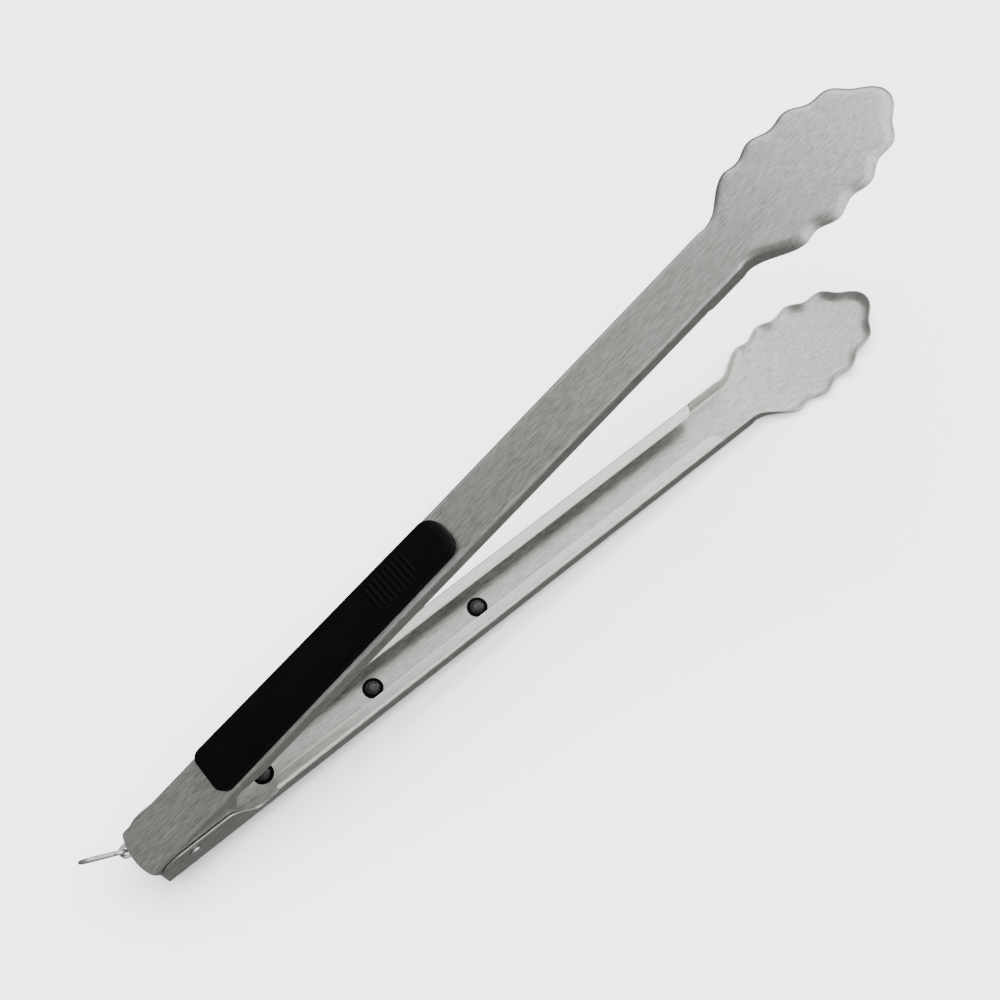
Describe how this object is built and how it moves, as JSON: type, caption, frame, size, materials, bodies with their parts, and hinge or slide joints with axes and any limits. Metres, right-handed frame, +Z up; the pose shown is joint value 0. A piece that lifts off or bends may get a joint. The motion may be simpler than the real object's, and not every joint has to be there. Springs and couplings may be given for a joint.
{
  "type": "spring loaded kitchen tongs",
  "caption": "Long pressed steel kitchen tongs with scalloped heads, riveted black grips, a torsion spring at the hinge and a lock slider with a pull ring.",
  "frame": {"origin": "centre of the bounding box in plan, on the surface that the tongs lie on", "axes": "+X from the hinge to the heads, +Y along the hinge pin, +Z up, away from the surface; the tongs are open and lie on the back of the lower arm"},
  "size_m": [0.4212, 0.0464, 0.1665],
  "materials": {
    "brushed_steel": "brushed along the arm",
    "bright_steel": "bright drawn wire and polished small parts",
    "spring_steel": "drawn spring wire",
    "grip": "matt moulded, faintly grained",
    "rivet": "black, satin"
  },
  "bodies": {
    "lower": {"lower_arm": "brushed_steel", "lower_grip": "grip", "lower_grip_rivet_1": "rivet", "lower_grip_rivet_2": "rivet", "lower_grip_rivet_3": "rivet", "hinge_pin": "bright_steel", "torsion_spring": "spring_steel"},
    "upper": {"upper_arm": "brushed_steel", "upper_grip": "grip", "upper_grip_rivet_1": "rivet", "upper_grip_rivet_2": "rivet", "upper_grip_rivet_3": "rivet"},
    "lock": {"lock_slider": "bright_steel", "lock_bar": "bright_steel"},
    "ring": {"pull_ring": "bright_steel"}
  },
  "joints": [
    {"name": "arm_hinge", "type": "hinge", "parent": "lower", "child": "upper", "pos_m": [-0.1731, 0, 0.02491], "axis": [0, 1, 0], "range_deg": [0, 23.5], "stiffness_Nm_per_rad": 2, "springref_deg": -11.46, "deforming": ["torsion_spring"]},
    {"name": "lock_slide", "type": "slide", "parent": "lower", "child": "lock", "axis": [-0.9992, 0, 0.0403], "range_m": [0, 0.0045]},
    {"name": "ring_swing", "type": "hinge", "parent": "lock", "child": "ring", "pos_m": [-0.19369, 0.0052, 0.02574], "axis": [0.0403, 0, 0.9992], "range_deg": [-34, 86]}
  ]
}
